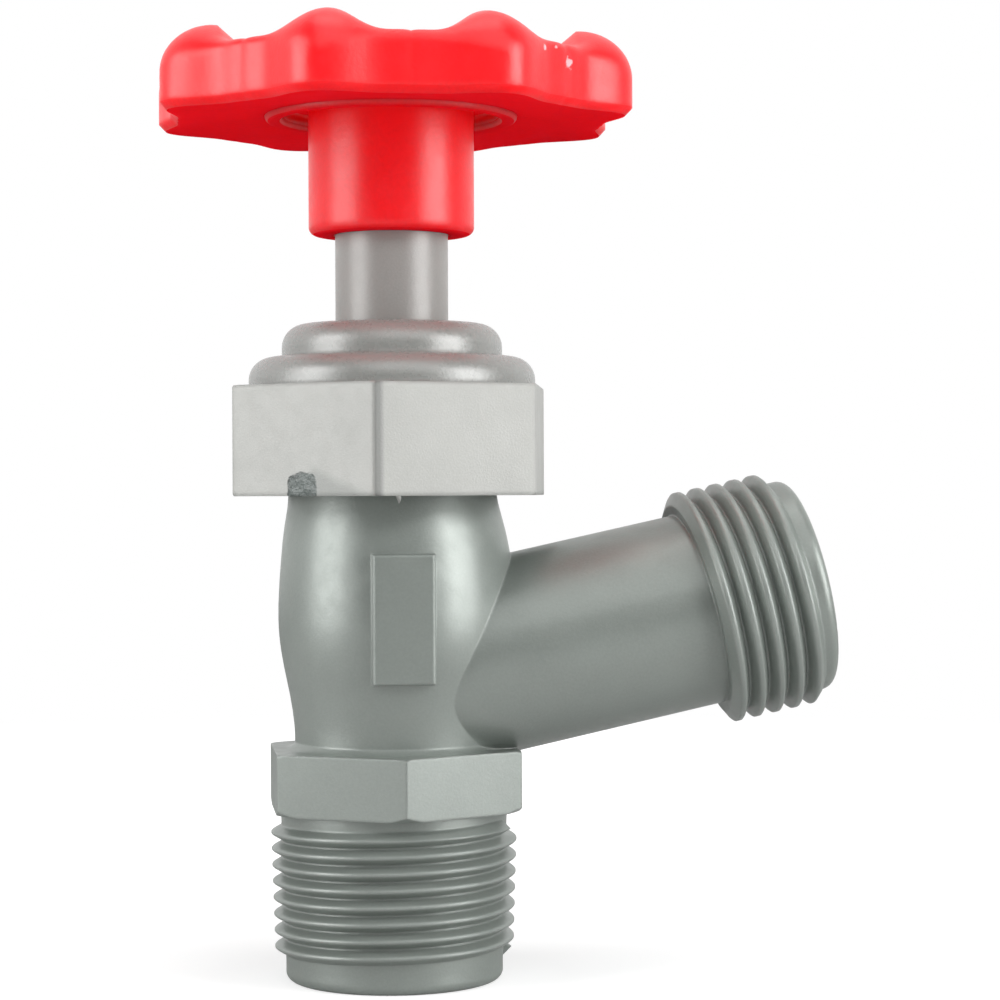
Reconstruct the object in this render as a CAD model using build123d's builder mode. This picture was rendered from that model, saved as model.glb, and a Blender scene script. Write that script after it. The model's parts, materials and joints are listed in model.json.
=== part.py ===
"""Boiler drain valve: an angle globe valve moulded in plastic, worked by a lobed handwheel.

Millimetres. The origin lies on the valve axis at the inlet end, +Z runs up along the stem,
and +X points to the side that the spout leaves from. The valve is drawn closed.
"""

import math
import os

from build123d import *

INCH = 25.4

# Clearances
running_play = 0.08  # shaft in a bore that it turns or slides in
thread_play = 0.10  # screwed pieces, flank to flank
assembly_play = 0.15  # pieces that are only pushed together
guide_play = 0.30  # loose guides
face_gap = 0.05  # faces that bear on each other

# Form shared by the two outer threads
flank_angle = 30
ridge_share = 0.94  # part of the pitch that a ridge's foot takes up
crest_bevel = 0.15
ridge_sink = 0.3  # depth that a ridge runs on inside the wall under it

# Pipe inlet: tapered male thread, 14 threads to the inch, 1 in 16 on the diameter
inlet_pitch = INCH / 14
inlet_taper = 1 / 32
inlet_root_radius = 12.1
inlet_thread_depth = 1.2
inlet_nose_length = 2.0
inlet_thread_length = 16.2
inlet_runout_length = 0.8
inlet_edge_round = 1.0
inlet_bore_radius = 8.5

# Wrench hexagon under the globe
wrench_flats = 26.8
wrench_height = 6.8
wrench_bevel = 1.0
hex_edge_bevel = 0.4
bevel_angle = 30

# Globe: it swells from the hexagon to a belly that leans towards the spout, then necks in
globe_height = 28.1
globe_foot_radius = 11.05
globe_foot_cove = 1.45
cove_sink = 0.25  # depth that the cove runs on inside the globe
globe_belly_radius = 13.3
globe_belly_rise = 14.4
globe_neck_radius = 11.65
globe_lean = 0.5
globe_sections = 9

# Blank raised pad on the front of the globe
pad_width = 6.8
pad_height = 14.1
pad_middle_rise = 14.8
pad_stand = 0.3
pad_edge_round = 0.35

# Spout and its hose thread, 11.5 threads to the inch
spout_rise = 7.55
spout_tilt = 12.3
spout_radius = 10.95
spout_bore_radius = 8.1
hose_pitch = INCH / 11.5
hose_root_radius = 12.1
hose_thread_depth = 1.3
hose_thread_start = 34.3
hose_turns = 5.8
hose_nose_length = 1.3
hose_edge_round = 1.1

# Seat inside the globe
seat_rise = 0.2
seat_orifice_radius = 5.9
seat_lip_width = 1.0
seat_lip_height = 1.5
seat_wall = 4.0
chamber_radius = 8.6

# Bonnet: hexagonal cap with two rounded rings, a screwed skirt and a nut sleeve for the stem
bonnet_flats = 33.0
bonnet_height = 12.1
bonnet_turn = -11
bonnet_ring_radius = 16.0
bonnet_ring_height = 3.3
gland_radius = 12.3
gland_height = 3.7
ring_round = 2.6
neck_thread_height = 1.35
neck_thread_drop = 0.8
neck_wall = 2.05
skirt_depth = 9.7
gasket_thickness = 1.2
gasket_inset = 0.3

# Stem, its lifting thread and its seals
stem_radius = 6.3
stem_thread_radius = 7.6
stem_foot_radius = 6.0
stem_showing = 9.95
stem_lead = 2.54
stem_turns = 2.6
stem_stop_gap = 0.2
o_ring_section = 1.8
o_ring_land = 1.0
edge_break = 0.4

# Swivelling disc that closes on the seat
washer_thickness = 3.2
washer_overlap = 0.4
cup_wall = 0.75
cup_cover = 1.9
disc_thickness = 2.1
peg_radius = 3.0
peg_length = 8.8
peg_bead = 0.35
peg_bead_height = 1.6
peg_bead_drop = 0.5
washer_screw_radius = 1.5
washer_screw_head_radius = 3.4
washer_screw_head_height = 1.6
washer_screw_grip = 7.5

# Handwheel
lobe_count = 8
wheel_lobe_radius = 27.5
wheel_valley_radius = 24.4
wheel_valley_height = 6.5
wheel_lobe_height = 9.3
wheel_lobe_round = 6.1
wheel_lobe_round_height = 5.4
wheel_valley_round = 0.9
wheel_edge_round = 0.8
rim_inner_radius = 15.1
rim_root = 1.5  # depth that the rim and the web run into each other
rim_dish = 0.8
lobe_sharpness = 3.5
lobe_steps = 3
web_groove_radius = 12.0
web_groove_depth = 1.2
web_thickness = 3.6
hub_radius = 9.25
hub_length = 12.45
hub_edge_round = 0.9
hub_boss_radius = 8.0
hub_boss_rise = 0.9
hub_roof = 2.4
drive_square = 8.4
drive_length = 9.0
wheel_screw_radius = 2.1
wheel_screw_head_radius = 4.4
wheel_screw_head_height = 2.6
wheel_screw_grip = 11.0
screw_slot_width = 1.1
screw_slot_depth = 0.9

# Heights up the valve axis
thread_bottom = inlet_nose_length
thread_top = thread_bottom + inlet_thread_length
wrench_bottom = thread_top + inlet_runout_length
globe_bottom = wrench_bottom + wrench_height
globe_top = globe_bottom + globe_height
belly_level = globe_bottom + globe_belly_rise
spout_level = globe_bottom + spout_rise
seat_level = globe_bottom + seat_rise
chamber_floor = seat_level - seat_lip_height
skirt_top = globe_top + skirt_depth
neck_top = skirt_top - gasket_thickness
ring_bottom = globe_top + bonnet_height
gland_bottom = ring_bottom + bonnet_ring_height
bonnet_top = gland_bottom + gland_height
hub_bottom = bonnet_top + stem_showing
rim_bottom = hub_bottom + hub_length
web_bottom = rim_bottom + rim_dish
web_top = web_bottom + web_thickness
boss_top = web_top + hub_boss_rise
stem_top = boss_top - hub_roof - assembly_play
stem_shoulder = stem_top - drive_length

# Radii and lengths that follow
inlet_nose_radius = inlet_root_radius
inlet_runout_radius = inlet_root_radius + inlet_taper * inlet_thread_length
neck_thread_radius = globe_neck_radius + neck_thread_height
skirt_radius = neck_thread_radius + thread_play
neck_bore_radius = globe_neck_radius - neck_wall
sleeve_radius = neck_bore_radius - guide_play
nut_radius = stem_thread_radius + thread_play
gland_bore_radius = stem_radius + running_play
stem_travel = stem_lead * stem_turns
spout_slope = math.tan(math.radians(spout_tilt))
spout_cosine = math.cos(math.radians(spout_tilt))
spout_crown = spout_level + chamber_radius * spout_slope + spout_bore_radius / spout_cosine
sleeve_bottom = spout_crown + 2 * guide_play
nut_top = ring_bottom
stem_thread_bottom = sleeve_bottom + guide_play
stem_thread_top = nut_top - stem_travel - stem_stop_gap
cove_radius = globe_foot_radius - cove_sink
hose_thread_length = hose_turns * hose_pitch
hose_root_start = hose_thread_start + hose_pitch
hose_ridge_sink = hose_root_radius - spout_radius + ridge_sink
spout_end = hose_thread_start + hose_thread_length + hose_nose_length
washer_bottom = seat_level + face_gap
washer_top = washer_bottom + washer_thickness
washer_radius = seat_orifice_radius + seat_lip_width + washer_overlap
disc_top = washer_top + disc_thickness
stem_bottom = disc_top + face_gap
peg_top = disc_top + peg_length
wheel_socket_top = boss_top - hub_roof
cup_radius = washer_radius + face_gap + cup_wall
bead_bottom = peg_top - peg_bead_drop - peg_bead_height
o_ring_middle_radius = stem_radius + face_gap + o_ring_section / 2
o_ring_groove_radius = o_ring_middle_radius + o_ring_section / 2 + face_gap
o_ring_groove_width = o_ring_section + 2 * face_gap
o_ring_grooves = (
    nut_top + o_ring_land,
    nut_top + 2 * o_ring_land + o_ring_groove_width,
)

spout_plane = Plane(
    origin=(0, 0, spout_level),
    x_dir=(0, 1, 0),
    z_dir=(1, 0, spout_slope),
)


def globe_radius(level):
    """Radius of the globe at a height: an S-curve up to the belly, a quarter wave to the neck."""
    if level < belly_level:
        share = (level - globe_bottom) / (belly_level - globe_bottom)
        swell = (1 - math.cos(math.pi * share)) / 2
        return globe_foot_radius + (globe_belly_radius - globe_foot_radius) * swell
    share = (level - belly_level) / (globe_top - belly_level)
    return globe_neck_radius + (globe_belly_radius - globe_neck_radius) * math.cos(math.pi / 2 * share)


def globe_offset(level):
    """How far the globe's section leans towards the spout at a height."""
    return globe_lean * math.sin(math.pi * (level - globe_bottom) / globe_height)


def hexagon(bottom, height, flats, turn, lower_bevel, upper_bevel):
    """Hexagonal prism whose corners are turned off at the bevel angle, like a nut's."""
    flat_radius = flats / 2
    corner_radius = flat_radius / math.cos(math.pi / 6)
    slope = math.tan(math.radians(bevel_angle))
    with BuildPart() as prism:
        with BuildSketch(Plane.XY.offset(bottom)):
            RegularPolygon(flat_radius, 6, major_radius=False, rotation=turn)
        extrude(amount=height)
        with BuildSketch(Plane.XZ):
            with BuildLine():
                Polyline(
                    (0, bottom),
                    (corner_radius - lower_bevel, bottom),
                    (corner_radius, bottom + lower_bevel * slope),
                    (corner_radius, bottom + height - upper_bevel * slope),
                    (corner_radius - upper_bevel, bottom + height),
                    (0, bottom + height),
                    close=True,
                )
            make_face()
        revolve(axis=Axis.Z, mode=Mode.INTERSECT)
    return prism.part


def screw_thread(pitch, length, root_radius, depth, sink, taper):
    """Right-hand ridge with a blunted crest, run out to the root at both ends, wound up from the XY plane."""
    clear = depth + sink
    half_root = pitch / 2 * ridge_share
    flank_top = depth - crest_bevel
    half_crest = half_root - flank_top * math.tan(math.radians(flank_angle))
    with BuildPart() as ridge:
        with BuildLine() as path:
            Helix(pitch, length, root_radius, cone_angle=math.degrees(math.atan(taper)))
        with BuildSketch(Plane(path.line @ 0, x_dir=(1, 0, 0), z_dir=path.line % 0)):
            with BuildLine():
                Polyline(
                    (depth, half_crest - crest_bevel),
                    (flank_top, half_crest),
                    (0, half_root),
                    (-sink, half_root),
                    (-sink, -half_root),
                    (0, -half_root),
                    (flank_top, -half_crest),
                    (depth, crest_bevel - half_crest),
                    close=True,
                )
            make_face()
        sweep(path=path.line, is_frenet=True)
        with BuildSketch(Plane.XZ):
            with BuildLine():
                Polyline(
                    (0, -half_root),
                    (root_radius, -half_root),
                    (root_radius + clear, clear - half_root),
                    (root_radius + clear + taper * length, length + half_root - clear),
                    (root_radius + taper * length, length + half_root),
                    (0, length + half_root),
                    close=True,
                )
            make_face()
        revolve(axis=Axis.Z, mode=Mode.INTERSECT)
    return ridge.part


wrench_hexagon = hexagon(
    wrench_bottom, wrench_height, wrench_flats, 90, wrench_bevel, hex_edge_bevel
)
inlet_margin = inlet_pitch / 2
inlet_ridge = screw_thread(
    inlet_pitch,
    inlet_thread_length - 2 * inlet_margin,
    inlet_root_radius,
    inlet_thread_depth,
    ridge_sink,
    inlet_taper,
)
hose_ridge = screw_thread(
    hose_pitch,
    hose_thread_length - hose_pitch,
    hose_root_radius,
    hose_thread_depth,
    hose_ridge_sink,
    0,
)

with BuildPart() as front_pad:
    with BuildSketch(Plane.XZ.offset(globe_belly_radius + pad_stand)):
        with Locations((0, globe_bottom + pad_middle_rise)):
            Rectangle(pad_width, pad_height)
    extrude(amount=chamber_radius - globe_belly_radius)
    fillet(front_pad.faces().sort_by(Axis.Y)[0].edges(), pad_edge_round)

with BuildPart() as valve_body:
    # Globe, lofted through circles that swell and lean
    for section in range(globe_sections):
        level = globe_bottom + globe_height * section / (globe_sections - 1)
        with BuildSketch(Plane.XY.offset(level)):
            with Locations((globe_offset(level), 0)):
                Circle(globe_radius(level))
    loft()
    # Spout, with the root of the hose thread, which starts under the first turn, and the plain nose
    with BuildSketch(spout_plane):
        Circle(spout_radius)
    extrude(amount=spout_end - hose_nose_length)
    with BuildSketch(spout_plane.offset(hose_root_start)):
        Circle(hose_root_radius)
    extrude(amount=spout_end - hose_root_start)
    fillet(valve_body.edges().filter_by(GeomType.CIRCLE).sort_by(Axis.X)[-1], hose_edge_round)
    # Inlet spigot, turned about the valve axis
    with BuildSketch(Plane.XZ):
        with BuildLine():
            Polyline(
                (0, 0),
                (inlet_nose_radius, 0),
                (inlet_nose_radius, thread_bottom),
                (inlet_runout_radius, thread_top),
                (inlet_runout_radius, wrench_bottom),
                (0, wrench_bottom),
                close=True,
            )
        make_face()
    revolve(axis=Axis.Z)
    fillet(valve_body.edges().group_by(Axis.Z)[0], inlet_edge_round)
    add(wrench_hexagon)
    # Cove where the globe stands on the hexagon
    with BuildSketch(Plane.XZ):
        with BuildLine():
            Polyline(
                (cove_radius, globe_bottom + globe_foot_cove),
                (chamber_radius, globe_bottom + globe_foot_cove),
                (chamber_radius, globe_bottom),
                (cove_radius + globe_foot_cove, globe_bottom),
            )
            RadiusArc(
                (cove_radius + globe_foot_cove, globe_bottom),
                (cove_radius, globe_bottom + globe_foot_cove),
                globe_foot_cove,
            )
        make_face()
    revolve(axis=Axis.Z)
    # Screwed neck, hidden in the bonnet's skirt
    with BuildSketch(Plane.XY.offset(globe_top)):
        Circle(globe_neck_radius)
    extrude(amount=neck_top - globe_top)
    with BuildSketch(Plane.XY.offset(globe_top + neck_thread_drop)):
        Circle(neck_thread_radius)
    extrude(amount=neck_top - globe_top - neck_thread_drop)
    add(front_pad.part)
    # Waterway: inlet bore, orifice, seat lip, chamber and neck bore in one turned cut
    with BuildSketch(Plane.XZ):
        with BuildLine():
            Polyline(
                (0, 0),
                (inlet_bore_radius, 0),
                (inlet_bore_radius, chamber_floor - seat_wall),
                (seat_orifice_radius, chamber_floor - seat_wall + inlet_bore_radius - seat_orifice_radius),
                (seat_orifice_radius, seat_level),
                (seat_orifice_radius + seat_lip_width, seat_level),
                (seat_orifice_radius + seat_lip_width, chamber_floor),
                (chamber_radius, chamber_floor),
                (chamber_radius, sleeve_bottom - guide_play),
                (neck_bore_radius, sleeve_bottom - guide_play),
                (neck_bore_radius, neck_top),
                (0, neck_top),
                close=True,
            )
        make_face()
    revolve(axis=Axis.Z, mode=Mode.SUBTRACT)
    with BuildSketch(spout_plane):
        Circle(spout_bore_radius)
    extrude(amount=spout_end, mode=Mode.SUBTRACT)
    # Threads
    add(inlet_ridge.moved(Location((0, 0, thread_bottom + inlet_margin))))
    add(spout_plane.offset(hose_thread_start + hose_pitch / 2) * hose_ridge)

bonnet_hexagon = hexagon(
    globe_top, bonnet_height, bonnet_flats, 90 + bonnet_turn, hex_edge_bevel, hex_edge_bevel
)

with BuildPart() as bonnet:
    add(bonnet_hexagon)
    # Two rounded rings above the hexagon
    with BuildSketch(Plane.XY.offset(ring_bottom)):
        Circle(bonnet_ring_radius)
    extrude(amount=bonnet_ring_height)
    fillet(bonnet.faces().sort_by(Axis.Z)[-1].edges(), ring_round)
    with BuildSketch(Plane.XY.offset(gland_bottom)):
        Circle(gland_radius)
    extrude(amount=gland_height)
    fillet(bonnet.faces().sort_by(Axis.Z)[-1].edges(), ring_round)
    # Skirt bore, with the nut sleeve left hanging inside it
    with BuildSketch(Plane.XY.offset(globe_top)):
        Circle(skirt_radius)
    extrude(amount=skirt_depth, mode=Mode.SUBTRACT)
    with BuildSketch(Plane.XY.offset(sleeve_bottom)):
        Circle(sleeve_radius)
    extrude(amount=skirt_top - sleeve_bottom)
    # Nut bore below, stem bore above, and a groove for each sealing ring
    with BuildSketch(Plane.XY.offset(sleeve_bottom)):
        Circle(nut_radius)
    extrude(amount=nut_top - sleeve_bottom, mode=Mode.SUBTRACT)
    with BuildSketch(Plane.XY.offset(nut_top)):
        Circle(gland_bore_radius)
    extrude(amount=bonnet_top - nut_top, mode=Mode.SUBTRACT)
    for groove_bottom in o_ring_grooves:
        with BuildSketch(Plane.XY.offset(groove_bottom)):
            Circle(o_ring_groove_radius)
        extrude(amount=o_ring_groove_width, mode=Mode.SUBTRACT)

with BuildPart() as bonnet_gasket:
    with BuildSketch(Plane.XY.offset(neck_top)):
        Circle(neck_thread_radius - gasket_inset)
        Circle(neck_bore_radius, mode=Mode.SUBTRACT)
    extrude(amount=gasket_thickness)


def o_ring(groove_bottom):
    """Sealing ring that lies in one of the bonnet's grooves, close round the stem."""
    with BuildPart() as ring:
        with BuildSketch(Plane.XZ):
            with Locations((o_ring_middle_radius, groove_bottom + o_ring_groove_width / 2)):
                Circle(o_ring_section / 2)
        revolve(axis=Axis.Z)
    return ring


stem_o_ring_lower = o_ring(o_ring_grooves[0])
stem_o_ring_upper = o_ring(o_ring_grooves[1])

with BuildPart() as stem:
    # Foot, lifting thread drawn at its crest, and shank, turned about the valve axis
    with BuildSketch(Plane.XZ):
        with BuildLine():
            Polyline(
                (0, stem_bottom),
                (stem_foot_radius, stem_bottom),
                (stem_foot_radius, stem_thread_bottom - edge_break),
                (stem_thread_radius - edge_break, stem_thread_bottom - edge_break),
                (stem_thread_radius, stem_thread_bottom),
                (stem_thread_radius, stem_thread_top - edge_break),
                (stem_thread_radius - edge_break, stem_thread_top),
                (stem_radius, stem_thread_top),
                (stem_radius, stem_shoulder),
                (0, stem_shoulder),
                close=True,
            )
        make_face()
    revolve(axis=Axis.Z)
    # Square that drives the handwheel, tapped for its screw
    with BuildSketch(Plane.XY.offset(stem_shoulder)):
        Rectangle(drive_square, drive_square)
    extrude(amount=drive_length)
    chamfer(stem.faces().sort_by(Axis.Z)[-1].edges(), edge_break)
    with Locations((0, 0, stem_top)):
        Hole(wheel_screw_radius + face_gap, depth=wheel_screw_grip - hub_roof + guide_play)
    # Socket for the disc's peg, undercut where the bead snaps in
    with BuildSketch(Plane.XY.offset(stem_bottom)):
        Circle(peg_radius + running_play)
    extrude(amount=peg_top + guide_play - stem_bottom, mode=Mode.SUBTRACT)
    with BuildSketch(Plane.XY.offset(bead_bottom - guide_play)):
        Circle(peg_radius + peg_bead + running_play)
    extrude(amount=peg_bead_height + 2 * guide_play, mode=Mode.SUBTRACT)

with BuildPart() as disc_holder:
    # Cup for the washer, with the peg that the stem turns on
    with BuildSketch(Plane.XZ):
        with BuildLine():
            Polyline(
                (0, washer_top),
                (washer_radius + face_gap, washer_top),
                (washer_radius + face_gap, washer_top - cup_cover),
                (cup_radius, washer_top - cup_cover),
                (cup_radius, disc_top - edge_break),
                (cup_radius - edge_break, disc_top),
                (peg_radius, disc_top),
                (peg_radius, bead_bottom),
                (peg_radius + peg_bead, bead_bottom + peg_bead),
                (peg_radius + peg_bead, bead_bottom + peg_bead_height - peg_bead),
                (peg_radius, bead_bottom + peg_bead_height),
                (peg_radius, peg_top - edge_break),
                (peg_radius - edge_break, peg_top),
                (0, peg_top),
                close=True,
            )
        make_face()
    revolve(axis=Axis.Z)
    with BuildSketch(Plane.XY.offset(washer_top)):
        Circle(washer_screw_radius + face_gap)
    extrude(amount=washer_screw_grip - washer_thickness + guide_play, mode=Mode.SUBTRACT)

with BuildPart() as seat_washer:
    with BuildSketch(Plane.XY.offset(washer_bottom)):
        Circle(washer_radius)
        Circle(washer_screw_radius + face_gap, mode=Mode.SUBTRACT)
    extrude(amount=washer_thickness)

with BuildPart() as washer_screw:
    with BuildSketch(Plane.XY.offset(washer_bottom)):
        Circle(washer_screw_head_radius)
    extrude(amount=-washer_screw_head_height)
    fillet(washer_screw.faces().sort_by(Axis.Z)[0].edges(), washer_screw_head_height / 2)
    with BuildSketch(Plane.XY.offset(washer_bottom)):
        Circle(washer_screw_radius)
    extrude(amount=washer_screw_grip)
    with BuildSketch(Plane.XY.offset(washer_bottom - washer_screw_head_height)):
        Rectangle(2 * washer_screw_head_radius, screw_slot_width)
    extrude(amount=screw_slot_depth, mode=Mode.SUBTRACT)


def rim_section(angle, bulge):
    """Section of the wheel's rim in a radial plane: bulge is 0 in a valley and 1 on a lobe's crest.

    The top and the underside both slope to meet the web's faces at the rim's inner radius, and run on inside.
    """
    outer = wheel_valley_radius + (wheel_lobe_radius - wheel_valley_radius) * bulge
    height = wheel_valley_height + (wheel_lobe_height - wheel_valley_height) * bulge
    round_width = wheel_valley_round + (wheel_lobe_round - wheel_valley_round) * bulge
    round_height = wheel_valley_round + (wheel_lobe_round_height - wheel_valley_round) * bulge
    crest = outer - round_width
    shoulder = rim_bottom + height - round_height
    foot = outer - wheel_edge_round
    top_slope = (shoulder + round_height - web_top) / (crest - rim_inner_radius)
    under_slope = rim_dish / (foot - rim_inner_radius)
    root = rim_inner_radius - rim_root
    with BuildSketch(Plane.XZ.rotated((0, 0, angle))) as section:
        with BuildLine():
            Polyline(
                (crest, shoulder + round_height),
                (root, web_top - rim_root * top_slope),
                (root, web_bottom + rim_root * under_slope),
                (foot, rim_bottom),
                (outer, rim_bottom + wheel_edge_round),
                (outer, shoulder),
            )
            EllipticalCenterArc((crest, shoulder), round_width, round_height, arc_size=90)
        make_face()
    return section.sketch


# One lobe of the rim, lofted from valley to valley through its crest
lobe_half_angle = 180 / lobe_count
rim_sections = []
for step in range(-lobe_steps, lobe_steps + 1):
    place = step / lobe_steps
    bulge = math.cos(math.pi / 2 * place) ** lobe_sharpness
    rim_sections.append(rim_section(lobe_half_angle * place, bulge))
with BuildPart() as rim_lobe:
    loft(sections=rim_sections)

with BuildPart() as handwheel:
    with PolarLocations(0, lobe_count, start_angle=lobe_half_angle):
        add(rim_lobe.part)
    # Hub and web
    with BuildSketch(Plane.XZ):
        with BuildLine():
            Polyline(
                (0, hub_bottom),
                (hub_radius, hub_bottom),
                (hub_radius, web_bottom + web_groove_depth),
                (web_groove_radius, web_bottom + web_groove_depth),
                (web_groove_radius, web_bottom),
                (rim_inner_radius + rim_root, web_bottom),
                (rim_inner_radius + rim_root, web_top),
                (hub_boss_radius, web_top),
                (hub_boss_radius, boss_top),
                (0, boss_top),
                close=True,
            )
        make_face()
    revolve(axis=Axis.Z)
    fillet(handwheel.edges().group_by(Axis.Z)[0], hub_edge_round)
    # Bore for the shank, square socket, and the hole for the screw
    with BuildSketch(Plane.XY.offset(hub_bottom)):
        Circle(stem_radius + assembly_play)
    extrude(amount=stem_shoulder - hub_bottom, mode=Mode.SUBTRACT)
    with BuildSketch(Plane.XY.offset(stem_shoulder)):
        Rectangle(drive_square + 2 * assembly_play, drive_square + 2 * assembly_play)
    extrude(amount=wheel_socket_top - stem_shoulder, mode=Mode.SUBTRACT)
    with BuildSketch(Plane.XY.offset(wheel_socket_top)):
        Circle(wheel_screw_radius + assembly_play)
    extrude(amount=hub_roof, mode=Mode.SUBTRACT)

with BuildPart() as handwheel_screw:
    with BuildSketch(Plane.XY.offset(boss_top)):
        Circle(wheel_screw_head_radius)
    extrude(amount=wheel_screw_head_height)
    fillet(handwheel_screw.faces().sort_by(Axis.Z)[-1].edges(), wheel_screw_head_height / 2)
    with BuildSketch(Plane.XY.offset(boss_top)):
        Circle(wheel_screw_radius)
    extrude(amount=-wheel_screw_grip)
    with BuildSketch(Plane.XY.offset(boss_top + wheel_screw_head_height)):
        Rectangle(wheel_screw_head_radius, screw_slot_width)
        Rectangle(screw_slot_width, wheel_screw_head_radius)
    extrude(amount=-screw_slot_depth, mode=Mode.SUBTRACT)

os.makedirs("parts", exist_ok=True)
pieces = {
    "valve_body": valve_body,
    "bonnet": bonnet,
    "bonnet_gasket": bonnet_gasket,
    "stem_o_ring_lower": stem_o_ring_lower,
    "stem_o_ring_upper": stem_o_ring_upper,
    "stem": stem,
    "disc_holder": disc_holder,
    "seat_washer": seat_washer,
    "washer_screw": washer_screw,
    "handwheel": handwheel,
    "handwheel_screw": handwheel_screw,
}
for name, piece in pieces.items():
    piece.part.label = name
    export_step(piece.part, f"parts/{name}.step")
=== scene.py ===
"""Boiler drain valve on white, lit by four soft boxes, in the frame of its CAD model.

Metres, +Z up the stem and +X to the side that the spout leaves from.
"""

import json
import math

import bpy
from mathutils import Euler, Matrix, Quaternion, Vector


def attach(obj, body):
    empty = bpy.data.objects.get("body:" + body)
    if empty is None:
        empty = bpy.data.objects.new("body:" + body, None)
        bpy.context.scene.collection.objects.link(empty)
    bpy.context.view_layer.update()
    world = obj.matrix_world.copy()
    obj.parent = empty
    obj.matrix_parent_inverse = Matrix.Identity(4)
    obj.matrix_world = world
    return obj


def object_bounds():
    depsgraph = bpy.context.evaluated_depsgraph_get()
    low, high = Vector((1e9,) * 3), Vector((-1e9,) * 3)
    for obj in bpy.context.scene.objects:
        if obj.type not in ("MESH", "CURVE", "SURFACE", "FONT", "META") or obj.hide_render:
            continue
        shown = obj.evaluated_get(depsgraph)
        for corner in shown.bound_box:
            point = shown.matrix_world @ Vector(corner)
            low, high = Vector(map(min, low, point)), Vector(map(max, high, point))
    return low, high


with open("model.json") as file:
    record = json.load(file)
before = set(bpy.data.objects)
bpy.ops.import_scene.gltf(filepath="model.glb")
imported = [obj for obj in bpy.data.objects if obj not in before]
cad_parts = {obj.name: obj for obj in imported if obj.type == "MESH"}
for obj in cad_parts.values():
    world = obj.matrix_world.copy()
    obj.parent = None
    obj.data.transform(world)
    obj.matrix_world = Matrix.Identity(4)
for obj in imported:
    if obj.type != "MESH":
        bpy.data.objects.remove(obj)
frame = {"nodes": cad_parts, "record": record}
cad_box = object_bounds()

MM = 0.001
WHITE = (1, 1, 1)
scene = bpy.context.scene

# Camera: where it stands, the way that it looks and its lens
camera_distance = 302 * MM
camera_height = 54.4 * MM
camera_yaw = math.radians(7.4)
camera_pitch = math.radians(0.2)
camera_roll = math.radians(0.25)
camera_side = 12 * MM  # how far the valve's axis lies left of the line of sight
camera_near = 10 * MM
camera_lens = 97.2
camera_sensor = 36

# Colours
body_grey = (0.222, 0.247, 0.228)
bonnet_grey = (0.365, 0.37, 0.35)
ring_grey = (0.258, 0.265, 0.252)
# Painted shade for the strip past the hexagon's front corner
corner_shade_grey = (0.15, 0.155, 0.147)
stem_grey = (0.268, 0.265, 0.252)
wheel_red = (0.94, 0.006, 0.012)
# Painted shade on the sunken gate scar, in its notch and beside it
scar_shade_grey = (0.085, 0.105, 0.097)
nick_pink = (0.95, 0.42, 0.45)
rubber_black = (0.018, 0.018, 0.019)
washer_black = (0.022, 0.021, 0.020)
bloom_grey = (0.06, 0.06, 0.06)
brass_yellow = (0.62, 0.43, 0.16)
steel_grey = (0.52, 0.53, 0.54)

# Moulded plastic: what varies over its surface
mottle_size = 9 * MM
mottle_shade = 0.05  # share that the colour goes up and down
speckle_share = 0.40
speckle_light = 1.22
scuff_size = 1.8 * MM
scuff_dulling = 0.10  # added to the roughness
worn_edge_highlight_grey = 0.8  # grey that edges go towards, partly as wear and partly as painted highlight
plastic_bump = 0.5
edge_samples = 4
glow_reach = (6 * MM, 0.3 * MM, 0.3 * MM)  # how far red, green and blue run inside the wheel

# Rubber and metal: what varies over their surfaces
bloom_size = 1.5 * MM
bloom_share = 0.35
rubber_roughness = 0.7
rubber_grain = 0.25 * MM
rubber_grain_depth = 0.02 * MM
rubber_bump = 0.4
tarnish_size = 2.2 * MM
tarnish_share = 0.5
tarnish_shade = 0.6
metal_roughness = 0.25
metal_patch_size = 0.8 * MM
metal_patch_dulling = 0.15
metal_edge_radius = 0.15 * MM
# Edges brightened by these two: partly wear, partly a painted highlight along them
metal_edge_share = 0.6
metal_edge_light = 1.3
metal_grain = 0.12 * MM
metal_grain_depth = 0.01 * MM
metal_bump = 0.3

# Light: the world's level for the object, the floor and the four soft boxes
world_level = 0.09
floor_grey = 0.68
floor_shadow = 0.8  # share of the floor round the valve that shows the shadow
shadow_near = 20 * MM  # the share fades out between these two distances from the axis
shadow_far = 350 * MM
floor_white = 3.1  # makes up for that share, so the open floor is as white as the world
floor_size = 4.0
mirror_near = 1200 * MM  # reflections show the floor white past here, fully so at mirror_far
mirror_far = 1700 * MM
sky_near = -0.1  # and the world white past this Y of its direction, fully so at sky_far
sky_far = 0.4
box_distance = 420 * MM
left_box = {
    "turn": math.radians(-75),
    "rise": math.radians(14),
    "width": 270 * MM,
    "height": 400 * MM,
    "power": 1.68,
}
right_box = {
    "turn": math.radians(57),
    "rise": math.radians(12),
    "width": 260 * MM,
    "height": 360 * MM,
    "power": 1.95,
}
front_box = {
    "turn": math.radians(5),
    "rise": math.radians(46),
    "width": 420 * MM,
    "height": 320 * MM,
    "power": 0.6,
}
top_box = {
    "turn": math.radians(0),
    "rise": math.radians(86),
    "width": 240 * MM,
    "height": 240 * MM,
    "power": 0.4,
}

# The bonnet's hexagon, the smoother and darker rings above it, and painted shade past its front corner
hex_top = 66.0 * MM
hex_bottom = 53.9 * MM
hex_apothem = 16.5 * MM
hex_side = 2 * hex_apothem / math.sqrt(3)
ring_blend = 0.1 * MM
ring_polish = 0.17  # taken off the roughness
ring_shine = 1.0
corner_turn = math.radians(-101)  # way that the hexagon's front corner points
corner_shade_width = math.radians(2.6)  # width of the strip of painted shade past that corner
# strength of the painted shade in that strip
corner_shade_share = 0.8
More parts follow.
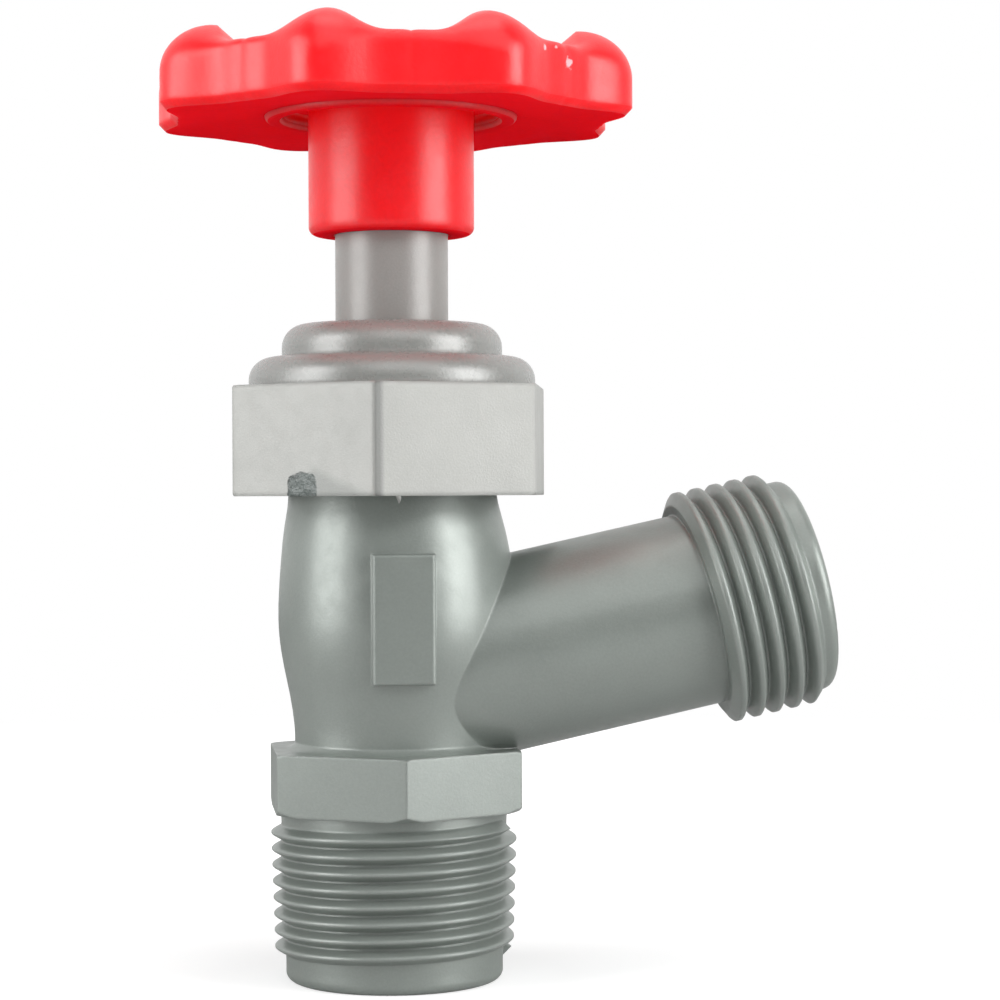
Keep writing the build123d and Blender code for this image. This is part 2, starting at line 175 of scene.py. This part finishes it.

# Torn gate scar at the lower edge of one face, darkened with painted shade, and a fan of painted shade
# beside it
scar_face = math.radians(229)  # way that the face looks
face_skin = 1.0 * MM  # marks lie this deep behind the face at most, and fade below that
face_fade = 0.5 * MM
scar_width = 4.0 * MM
scar_height = 2.5 * MM
scar_squareness = 4.0
scar_outer = 1.05  # reach at which the scar begins, and at which it is full
scar_inner = 0.80
rim_inner = 0.45  # reach at which the scar's torn rim begins, and at which it is full
rim_outer = 0.95
torn_size = 1.1 * MM
torn_share = 1.1
scar_lumps = 14.0  # height of its lumps, in grains
scar_polish = 0.15
notch_start = 0.4 * MM
notch_full = -0.8 * MM
notch_shade = 0.2
side_shade_reach = 10.5 * MM
side_shade_slope = 2.6
side_shade_fade = 3 * MM
side_shade_share = 0.34
side_shade_start = 0.8 * MM
side_shade_full = 1.8 * MM

# Thread of moulding flash under another face
nib_face = math.radians(289)  # way that the face looks
nib_from_corner = 2.7 * MM
nib_length = 0.8 * MM
nib_radius = 0.34 * MM
nib_rings = 7
nib_sides = 12
nib_sway = 0.9  # in radii, as are the next two
nib_lean = 0.5
nib_flatness = 0.6
nib_curl = 2.2  # radians that the sway runs through
nib_taper = 0.85
nib_taper_power = 1.5
nib_lump = 0.22
nib_lumps = 3
nib_twist = 4

# Handwheel: the raised ring under its web, its dull underside and the nicks at its rim
web_bottom = 96.2 * MM
hub_ring_inner = 12.1 * MM
hub_ring_outer = 14.1 * MM
hub_ring_drop = 0.6 * MM
hub_ring_steps = 96
hub_ring_bend_steps = 5
under_start = -0.4  # a face's upward share at which the shine begins to fade
under_full = -0.9
nick_ragged_size = 0.5 * MM
nick_raggedness = 3.0
nick_core = 0.6
nick_depth = 4.0  # in grains
nicks = (
    {"radius": 24.43 * MM, "angle": math.radians(-44.5), "level": 99.85 * MM, "size": 0.56 * MM},
    {"radius": 24.95 * MM, "angle": math.radians(-54.7), "level": 100.96 * MM, "size": 0.30 * MM},
    {"radius": 24.49 * MM, "angle": math.radians(-49.6), "level": 101.26 * MM, "size": 0.27 * MM},
)


class Nodes:
    """A material's or world's node tree, with short calls to add and join nodes."""

    def __init__(self, owner):
        owner.use_nodes = True
        self.tree = owner.node_tree
        self.tree.nodes.clear()

    def add(self, kind, **inputs):
        """A node of that kind. Inputs are constants or other nodes' outputs, by socket name."""
        made = self.tree.nodes.new("ShaderNode" + kind)
        for name, value in inputs.items():
            self.set(made, name.replace("_", " "), value)
        return made

    def set(self, made, name, value):
        """Sets an input, by socket name or number, to a constant or another node's output."""
        socket = made.inputs[name]
        if isinstance(value, bpy.types.NodeSocket):
            self.tree.links.new(value, socket)
        else:
            socket.default_value = value

    def math(self, operation, first, second):
        made = self.add("Math")
        made.operation = operation
        self.set(made, 0, first)
        self.set(made, 1, second)
        return made.outputs[0]

    def measure(self, operation, first, second):
        """Number from two vectors: DOT_PRODUCT or DISTANCE."""
        made = self.add("VectorMath")
        made.operation = operation
        self.set(made, 0, first)
        self.set(made, 1, second)
        return made.outputs["Value"]

    def mix(self, share, first, second):
        """Colour between two colours."""
        made = self.add("Mix")
        made.data_type = "RGBA"
        self.set(made, 0, share)
        self.set(made, 6, first)
        self.set(made, 7, second)
        return made.outputs[2]

    def span(self, value, low, high, to_low, to_high):
        """Value mapped from one range to another and held inside it."""
        made = self.add("MapRange", Value=value)
        for place, number in enumerate((low, high, to_low, to_high), start=1):
            made.inputs[place].default_value = number
        return made.outputs[0]

    def place(self):
        """Point on the piece, in its own frame."""
        return self.add("TexCoord").outputs["Object"]

    def along(self, direction, start):
        """How far the point lies along a direction from a start."""
        return self.math("SUBTRACT", self.measure("DOT_PRODUCT", self.place(), direction), start)

    def away(self, point):
        """How far the point on the piece lies from another point."""
        return self.measure("DISTANCE", self.place(), point)

    def noise(self, size, detail=2.0, rough=0.5):
        """Noise whose lumps are about this size, in metres."""
        made = self.add("TexNoise", Vector=self.place(), Scale=1 / size)
        made.inputs["Detail"].default_value = detail
        made.inputs["Roughness"].default_value = rough
        return made.outputs["Fac"]


def colour(rgb, level=1.0):
    return (rgb[0] * level, rgb[1] * level, rgb[2] * level, 1.0)


def edge_share(nodes, radius):
    """1 along outer and inner edges and 0 on open faces, with the rounded normal that shows it."""
    rounded = nodes.add("Bevel", Radius=radius)
    rounded.samples = edge_samples
    plain = nodes.add("NewGeometry")
    agreement = nodes.measure("DOT_PRODUCT", rounded.outputs[0], plain.outputs["Normal"])
    return nodes.span(agreement, 0.995, 0.90, 0.0, 1.0), rounded.outputs[0]


def no_marks(nodes, base, gloss, shine, height):
    return base, gloss, shine, height


def plastic(
    name,
    tint,
    roughness,
    shine,
    flake,
    grain,
    grain_depth,
    edge_wear_highlight,
    edge_radius,
    marks=no_marks,
    glow=0.0,
):
    """Moulded plastic, with metal flake in the greys: grain, mottling, scuffs, edges lightened as wear
    and as painted highlight, and marks.
    """
    material = bpy.data.materials.new(name)
    nodes = Nodes(material)
    edge, rounded = edge_share(nodes, edge_radius)
    mottle = nodes.span(nodes.noise(mottle_size, 3.0), 0.3, 0.7, 0.0, 1.0)
    grains = nodes.noise(grain, 4.0, 0.6)
    scuffs = nodes.noise(scuff_size, 5.0, 0.65)
    gloss = nodes.span(scuffs, 0.40, 0.75, roughness, roughness + scuff_dulling)
    base = nodes.mix(mottle, colour(tint, 1 - mottle_shade), colour(tint, 1 + mottle_shade))
    speckle = nodes.span(grains, 0.35, 0.75, 0.0, speckle_share)
    speckled = nodes.mix(speckle, base, colour(tint, speckle_light))
    # Edges lightened: partly wear, partly a painted highlight along them
    edge_wear_and_highlight = nodes.math("MULTIPLY", edge, edge_wear_highlight)
    edge_worn_and_lit = nodes.mix(edge_wear_and_highlight, speckled, colour(WHITE, worn_edge_highlight_grey))
    marked, gloss, shine, height = marks(nodes, edge_worn_and_lit, gloss, shine, grains)
    bump = nodes.add(
        "Bump", Height=height, Strength=plastic_bump, Distance=grain_depth, Normal=rounded
    )
    surface = nodes.add(
        "BsdfPrincipled",
        Metallic=flake,
        Roughness=gloss,
        Normal=bump.outputs[0],
        Base_Color=marked,
        Specular_IOR_Level=shine,
        Subsurface_Weight=glow,
        Subsurface_Radius=glow_reach,
        Subsurface_Scale=1.0,
    )
    nodes.add("OutputMaterial", Surface=surface.outputs[0])
    return material


def bonnet_marks(nodes, base, gloss, shine, height):
    """Darker, smoother rings above the hexagon, painted shade past the front corner, and a lumpy gate
    scar with painted shade on it and beside it.
    """
    level = nodes.along((0, 0, 1), hex_bottom)
    ring_start = hex_top - hex_bottom
    ring = nodes.span(level, ring_start - ring_blend, ring_start + ring_blend, 0.0, 1.0)
    base = nodes.mix(ring, base, colour(ring_grey))
    gloss = nodes.math("SUBTRACT", gloss, nodes.math("MULTIPLY", ring, ring_polish))
    shine = nodes.span(ring, 0.0, 1.0, shine, ring_shine)

    # Painted shade: a dark strip just past the hexagon's front corner
    turn = nodes.math("ARCTAN2", nodes.along((0, 1, 0), 0), nodes.along((1, 0, 0), 0))
    past_corner = nodes.math("SUBTRACT", turn, corner_turn)
    corner_shade = nodes.math(
        "MULTIPLY",
        nodes.span(past_corner, 0.0, corner_shade_width * 0.2, 0.0, corner_shade_share),
        nodes.span(past_corner, corner_shade_width * 0.7, corner_shade_width * 1.3, 1.0, 0.0),
    )
    on_hexagon = nodes.math("SUBTRACT", 1.0, ring)
    base = nodes.mix(nodes.math("MULTIPLY", corner_shade, on_hexagon), base, colour(corner_shade_grey))

    outward = (math.cos(scar_face), math.sin(scar_face), 0)
    sideways = (-math.sin(scar_face), math.cos(scar_face), 0)
    depth = nodes.along(outward, hex_apothem)
    on_face = nodes.span(depth, -face_skin - face_fade, -face_skin, 0.0, 1.0)
    across = nodes.along(sideways, 0)
    torn = nodes.math("SUBTRACT", nodes.noise(torn_size, 4.0, 0.6), 0.5)
    wide = nodes.math("POWER", nodes.math("DIVIDE", across, scar_width / 2), scar_squareness)
    tall = nodes.math("POWER", nodes.math("DIVIDE", level, scar_height), scar_squareness)
    ragged = nodes.math("MULTIPLY", torn, torn_share)
    reach = nodes.math("ADD", nodes.math("ADD", wide, tall), ragged)
    scar = nodes.math("MULTIPLY", nodes.span(reach, scar_outer, scar_inner, 0.0, 1.0), on_face)
    rim = nodes.math("MULTIPLY", nodes.span(reach, rim_inner, rim_outer, 0.0, 1.0), scar)
    notch = nodes.math("MULTIPLY", rim, nodes.span(across, notch_start, notch_full, 0.0, 1.0))

    # Painted shade fanning out beside the scar
    slope = nodes.math("ADD", across, nodes.math("MULTIPLY", level, side_shade_slope))
    side_shade_streak = nodes.span(slope, side_shade_reach, side_shade_reach - side_shade_fade, 0.0, side_shade_share)
    side_shade = nodes.math("MULTIPLY", side_shade_streak, on_face)
    side_shade = nodes.math("MULTIPLY", side_shade, nodes.span(across, side_shade_start, side_shade_full, 0.0, 1.0))
    # The scar and its notch are darkened with painted shade; the scar's lumps and smoother face are real
    base = nodes.mix(side_shade, base, colour(scar_shade_grey))
    base = nodes.mix(scar, base, colour(scar_shade_grey))
    base = nodes.mix(notch, base, colour(scar_shade_grey, notch_shade))
    lumps = nodes.math("MULTIPLY", scar, nodes.math("MULTIPLY", torn, scar_lumps))
    height = nodes.math("ADD", height, lumps)
    gloss = nodes.math("SUBTRACT", gloss, nodes.math("MULTIPLY", scar, scar_polish))
    return base, gloss, shine, height


def wheel_marks(nodes, base, gloss, shine, height):
    """Pale nicks at the rim, and a dull underside."""
    ragged = nodes.math("SUBTRACT", nodes.noise(nick_ragged_size, 3.0), 0.5)
    for nick in nicks:
        size = nick["size"]
        spot = (
            nick["radius"] * math.cos(nick["angle"]),
            nick["radius"] * math.sin(nick["angle"]),
            nick["level"],
        )
        wander = nodes.math("MULTIPLY", ragged, nick_raggedness * size)
        edge = nodes.math("ADD", nodes.away(spot), wander)
        share = nodes.span(edge, size, nick_core * size, 0.0, 1.0)
        base = nodes.mix(share, base, colour(nick_pink))
        height = nodes.math("SUBTRACT", height, nodes.math("MULTIPLY", share, nick_depth))
    facing = nodes.add("SeparateXYZ", Vector=nodes.add("NewGeometry").outputs["Normal"])
    shine = nodes.span(facing.outputs["Z"], under_start, under_full, shine, 0.0)
    return base, gloss, shine, height


def rubber(name, tint):
    """Dull black rubber with a little bloom on it."""
    material = bpy.data.materials.new(name)
    nodes = Nodes(material)
    bloom = nodes.span(nodes.noise(bloom_size, 4.0), 0.4, 0.8, 0.0, bloom_share)
    base = nodes.mix(bloom, colour(tint), colour(bloom_grey))
    bump = nodes.add(
        "Bump",
        Height=nodes.noise(rubber_grain, 3.0),
        Strength=rubber_bump,
        Distance=rubber_grain_depth,
    )
    surface = nodes.add(
        "BsdfPrincipled", Roughness=rubber_roughness, Normal=bump.outputs[0], Base_Color=base
    )
    nodes.add("OutputMaterial", Surface=surface.outputs[0])
    return material


def metal(name, tint, roughness):
    """Turned metal with faint tarnish, and edges brightened as wear and as painted highlight."""
    material = bpy.data.materials.new(name)
    nodes = Nodes(material)
    edge, rounded = edge_share(nodes, metal_edge_radius)
    tarnish = nodes.span(nodes.noise(tarnish_size, 4.0), 0.35, 0.75, 0.0, tarnish_share)
    base = nodes.mix(tarnish, colour(tint), colour(tint, tarnish_shade))
    # Edges brightened: partly wear, partly a painted highlight along them
    edge_wear_and_highlight = nodes.math("MULTIPLY", edge, metal_edge_share)
    bright = nodes.mix(edge_wear_and_highlight, base, colour(tint, metal_edge_light))
    patches = nodes.noise(metal_patch_size, 3.0)
    gloss = nodes.span(patches, 0.3, 0.7, roughness, roughness + metal_patch_dulling)
    bump = nodes.add(
        "Bump",
        Height=nodes.noise(metal_grain, 2.0),
        Strength=metal_bump,
        Distance=metal_grain_depth,
        Normal=rounded,
    )
    surface = nodes.add(
        "BsdfPrincipled", Metallic=1.0, Roughness=gloss, Normal=bump.outputs[0], Base_Color=bright
    )
    nodes.add("OutputMaterial", Surface=surface.outputs[0])
    return material


finishes = {
    "body_plastic": plastic(
        "body_plastic",
        body_grey,
        roughness=0.34,
        shine=0.9,
        flake=0.30,
        grain=0.30 * MM,
        grain_depth=0.035 * MM,
        edge_wear_highlight=0.10,
        edge_radius=0.35 * MM,
    ),
    "bonnet_plastic": plastic(
        "bonnet_plastic",
        bonnet_grey,
        roughness=0.42,
        shine=0.7,
        flake=0.06,
        grain=0.22 * MM,
        grain_depth=0.055 * MM,
        edge_wear_highlight=0.10,
        edge_radius=0.8 * MM,
        marks=bonnet_marks,
    ),
    "stem_plastic": plastic(
        "stem_plastic",
        stem_grey,
        roughness=0.32,
        shine=0.7,
        flake=0.06,
        grain=0.25 * MM,
        grain_depth=0.045 * MM,
        edge_wear_highlight=0.08,
        edge_radius=0.35 * MM,
    ),
    "wheel_plastic": plastic(
        "wheel_plastic",
        wheel_red,
        roughness=0.30,
        shine=0.55,
        flake=0.0,
        grain=0.45 * MM,
        grain_depth=0.050 * MM,
        edge_wear_highlight=0.01,
        edge_radius=0.9 * MM,
        marks=wheel_marks,
        glow=0.9,
    ),
    "gasket_rubber": rubber("gasket_rubber", rubber_black),
    "o_ring_rubber": rubber("o_ring_rubber", rubber_black),
    "washer_rubber": rubber("washer_rubber", washer_black),
    "brass": metal("brass", brass_yellow, metal_roughness),
    "screw_steel": metal("screw_steel", steel_grey, metal_roughness),
}
node_slots = {piece["node"]: piece["material_slot"] for piece in frame["record"]["subparts"]}
for name, piece in frame["nodes"].items():
    piece.data.materials.clear()
    piece.data.materials.append(finishes[node_slots[name]])


def new_piece(name, corners, faces, finish):
    """Smooth mesh in one of the finishes, put into the scene."""
    mesh = bpy.data.meshes.new(name)
    mesh.from_pydata(corners, [], faces)
    mesh.shade_smooth()
    mesh.materials.append(finishes[finish])
    piece = bpy.data.objects.new(name, mesh)
    scene.collection.objects.link(piece)
    return piece


def flash_nib():
    """Thread of moulding flash that hangs from the bonnet's lower edge, tapered and bent."""
    rings, sides = nib_rings, nib_sides
    outward = Vector((math.cos(nib_face), math.sin(nib_face), 0))
    sideways = Vector((-math.sin(nib_face), math.cos(nib_face), 0))
    root = outward * (hex_apothem - nib_radius) + sideways * (nib_from_corner - hex_side / 2)
    corners = []
    for ring in range(rings):
        share = ring / (rings - 1)
        sway = nib_sway * nib_radius * math.sin(nib_curl * share)
        lean = nib_lean * nib_radius * share * share
        level = hex_bottom + nib_radius - share * (nib_length + nib_radius)
        middle = root + sideways * sway + outward * lean + Vector((0, 0, level))
        tapered = nib_radius * (1 - nib_taper * share**nib_taper_power)
        for side in range(sides):
            turn = 2 * math.pi * side / sides
            radius = tapered * (1 + nib_lump * math.sin(nib_lumps * turn + nib_twist * share))
            over = sideways * (radius * math.cos(turn))
            out = outward * (nib_flatness * radius * math.sin(turn))
            corners.append(middle + over + out)
    faces = [
        (
            ring * sides + side,
            ring * sides + (side + 1) % sides,
            (ring + 1) * sides + (side + 1) % sides,
            (ring + 1) * sides + side,
        )
        for ring in range(rings - 1)
        for side in range(sides)
    ]
    faces.append(tuple(range(sides)))
    faces.append(tuple(range((rings - 1) * sides, rings * sides)))
    nib = new_piece("flash_nib", corners, faces, "bonnet_plastic")
    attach(nib, "valve")


def hub_ring():
    """Raised ring with rounded edges under the handwheel's web, round the hub."""
    steps, drop = hub_ring_steps, hub_ring_drop
    bends = [math.pi / 2 * step / hub_ring_bend_steps for step in range(hub_ring_bend_steps + 1)]
    profile = [(hub_ring_outer, web_bottom + drop)]
    for turn in bends:
        radius = hub_ring_outer - drop + drop * math.cos(turn)
        profile.append((radius, web_bottom - drop * math.sin(turn)))
    for turn in reversed(bends):
        radius = hub_ring_inner + drop - drop * math.cos(turn)
        profile.append((radius, web_bottom - drop * math.sin(turn)))
    profile.append((hub_ring_inner, web_bottom + drop))
    sides = len(profile)
    angles = [2 * math.pi * step / steps for step in range(steps)]
    corners = [
        (radius * math.cos(angle), radius * math.sin(angle), level)
        for angle in angles
        for radius, level in profile
    ]
    faces = [
        (
            step * sides + side,
            step * sides + (side + 1) % sides,
            (step + 1) % steps * sides + (side + 1) % sides,
            (step + 1) % steps * sides + side,
        )
        for step in range(steps)
        for side in range(sides)
    ]
    ring = new_piece("hub_ring", corners, faces, "wheel_plastic")
    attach(ring, "wheel")


def shown(nodes, behind):
    """1 for what the eye sees and what reflections and glass show of the far side, else 0."""
    path = nodes.add("LightPath")
    mirrored = nodes.math(
        "ADD", path.outputs["Is Glossy Ray"], path.outputs["Is Transmission Ray"]
    )
    far_mirrored = nodes.math("MULTIPLY", mirrored, behind)
    return nodes.math("ADD", path.outputs["Is Camera Ray"], far_mirrored)


def either(nodes, share, first, second):
    """Blend of two shaders."""
    made = nodes.add("MixShader")
    nodes.set(made, 0, share)
    nodes.set(made, 1, first.outputs[0])
    nodes.set(made, 2, second.outputs[0])
    return made


def depth_of(nodes, vector, near, far):
    """0 on the camera's side and 1 behind the valve, by a vector's Y."""
    parts = nodes.add("SeparateXYZ", Vector=vector)
    return nodes.span(parts.outputs["Y"], near, far, 0.0, 1.0)


def white_world():
    """World that looks white and lights the object at its own plain level."""
    world = bpy.data.worlds.new("white")
    scene.world = world
    nodes = Nodes(world)
    way = nodes.add("TexCoord").outputs["Generated"]
    behind = depth_of(nodes, way, sky_near, sky_far)
    white = nodes.add("Background", Color=colour(WHITE), Strength=1.0)
    plain = nodes.add("Background", Color=colour(WHITE), Strength=world_level)
    look = either(nodes, shown(nodes, behind), plain, white)
    nodes.add("OutputWorld", Surface=look.outputs[0])


def white_floor():
    """Floor that looks white and keeps the valve's shadow round its foot."""
    material = bpy.data.materials.new("floor")
    nodes = Nodes(material)
    point = nodes.add("NewGeometry").outputs["Position"]
    behind = depth_of(nodes, point, mirror_near, mirror_far)
    distance = nodes.away((0, 0, 0))
    level = nodes.span(distance, shadow_near, shadow_far, floor_white, 1.0)
    shadow = nodes.span(distance, shadow_near, shadow_far, floor_shadow, 0.0)
    white = nodes.add("Emission", Color=colour(WHITE), Strength=level)
    plain = nodes.add("BsdfDiffuse", Color=colour(WHITE, floor_grey))
    shaded = either(nodes, shadow, white, plain)
    look = either(nodes, shown(nodes, behind), plain, shaded)
    nodes.add("OutputMaterial", Surface=look.outputs[0])
    half = floor_size / 2
    mesh = bpy.data.meshes.new("floor")
    corners = [(-half, -half, 0), (half, -half, 0), (half, half, 0), (-half, half, 0)]
    mesh.from_pydata(corners, [], [(0, 1, 2, 3)])
    mesh.materials.append(material)
    floor = bpy.data.objects.new("floor", mesh)
    scene.collection.objects.link(floor)


def aim(thing, target):
    thing.rotation_euler = (target - thing.location).to_track_quat("-Z", "Y").to_euler()


def soft_box(name, turn, rise, width, height, power):
    """Area light round the valve, turned from the camera's side and raised, in radians."""
    low, high = cad_box
    middle = (Vector(low) + Vector(high)) / 2
    light = bpy.data.lights.new(name, "AREA")
    light.shape = "RECTANGLE"
    light.size = width
    light.size_y = height
    light.energy = power
    lamp = bpy.data.objects.new(name, light)
    scene.collection.objects.link(lamp)
    reach = math.cos(rise)
    way = Vector((math.sin(turn) * reach, -math.cos(turn) * reach, math.sin(rise)))
    lamp.location = middle + way * box_distance
    aim(lamp, middle)


def set_camera():
    """Camera a little to the right of the valve's axis, turned and rolled as in the photo."""
    data = bpy.data.cameras.new("camera")
    data.sensor_width = camera_sensor
    data.lens = camera_lens
    data.clip_start = camera_near
    camera = bpy.data.objects.new("camera", data)
    scene.collection.objects.link(camera)
    ahead = Vector((math.sin(camera_yaw), math.cos(camera_yaw), 0))
    right = Vector((math.cos(camera_yaw), -math.sin(camera_yaw), 0))
    stand = Vector((0, 0, camera_height))
    camera.location = right * camera_side - ahead * camera_distance + stand
    level = Euler((math.pi / 2 - camera_pitch, 0, -camera_yaw)).to_quaternion()
    camera.rotation_mode = "QUATERNION"
    camera.rotation_quaternion = level @ Quaternion((0, 0, 1), -camera_roll)
    scene.camera = camera


flash_nib()
hub_ring()
white_world()
white_floor()
soft_box("left_box", **left_box)
soft_box("right_box", **right_box)
soft_box("front_box", **front_box)
soft_box("top_box", **top_box)
set_camera()
scene.view_settings.view_transform = "Standard"
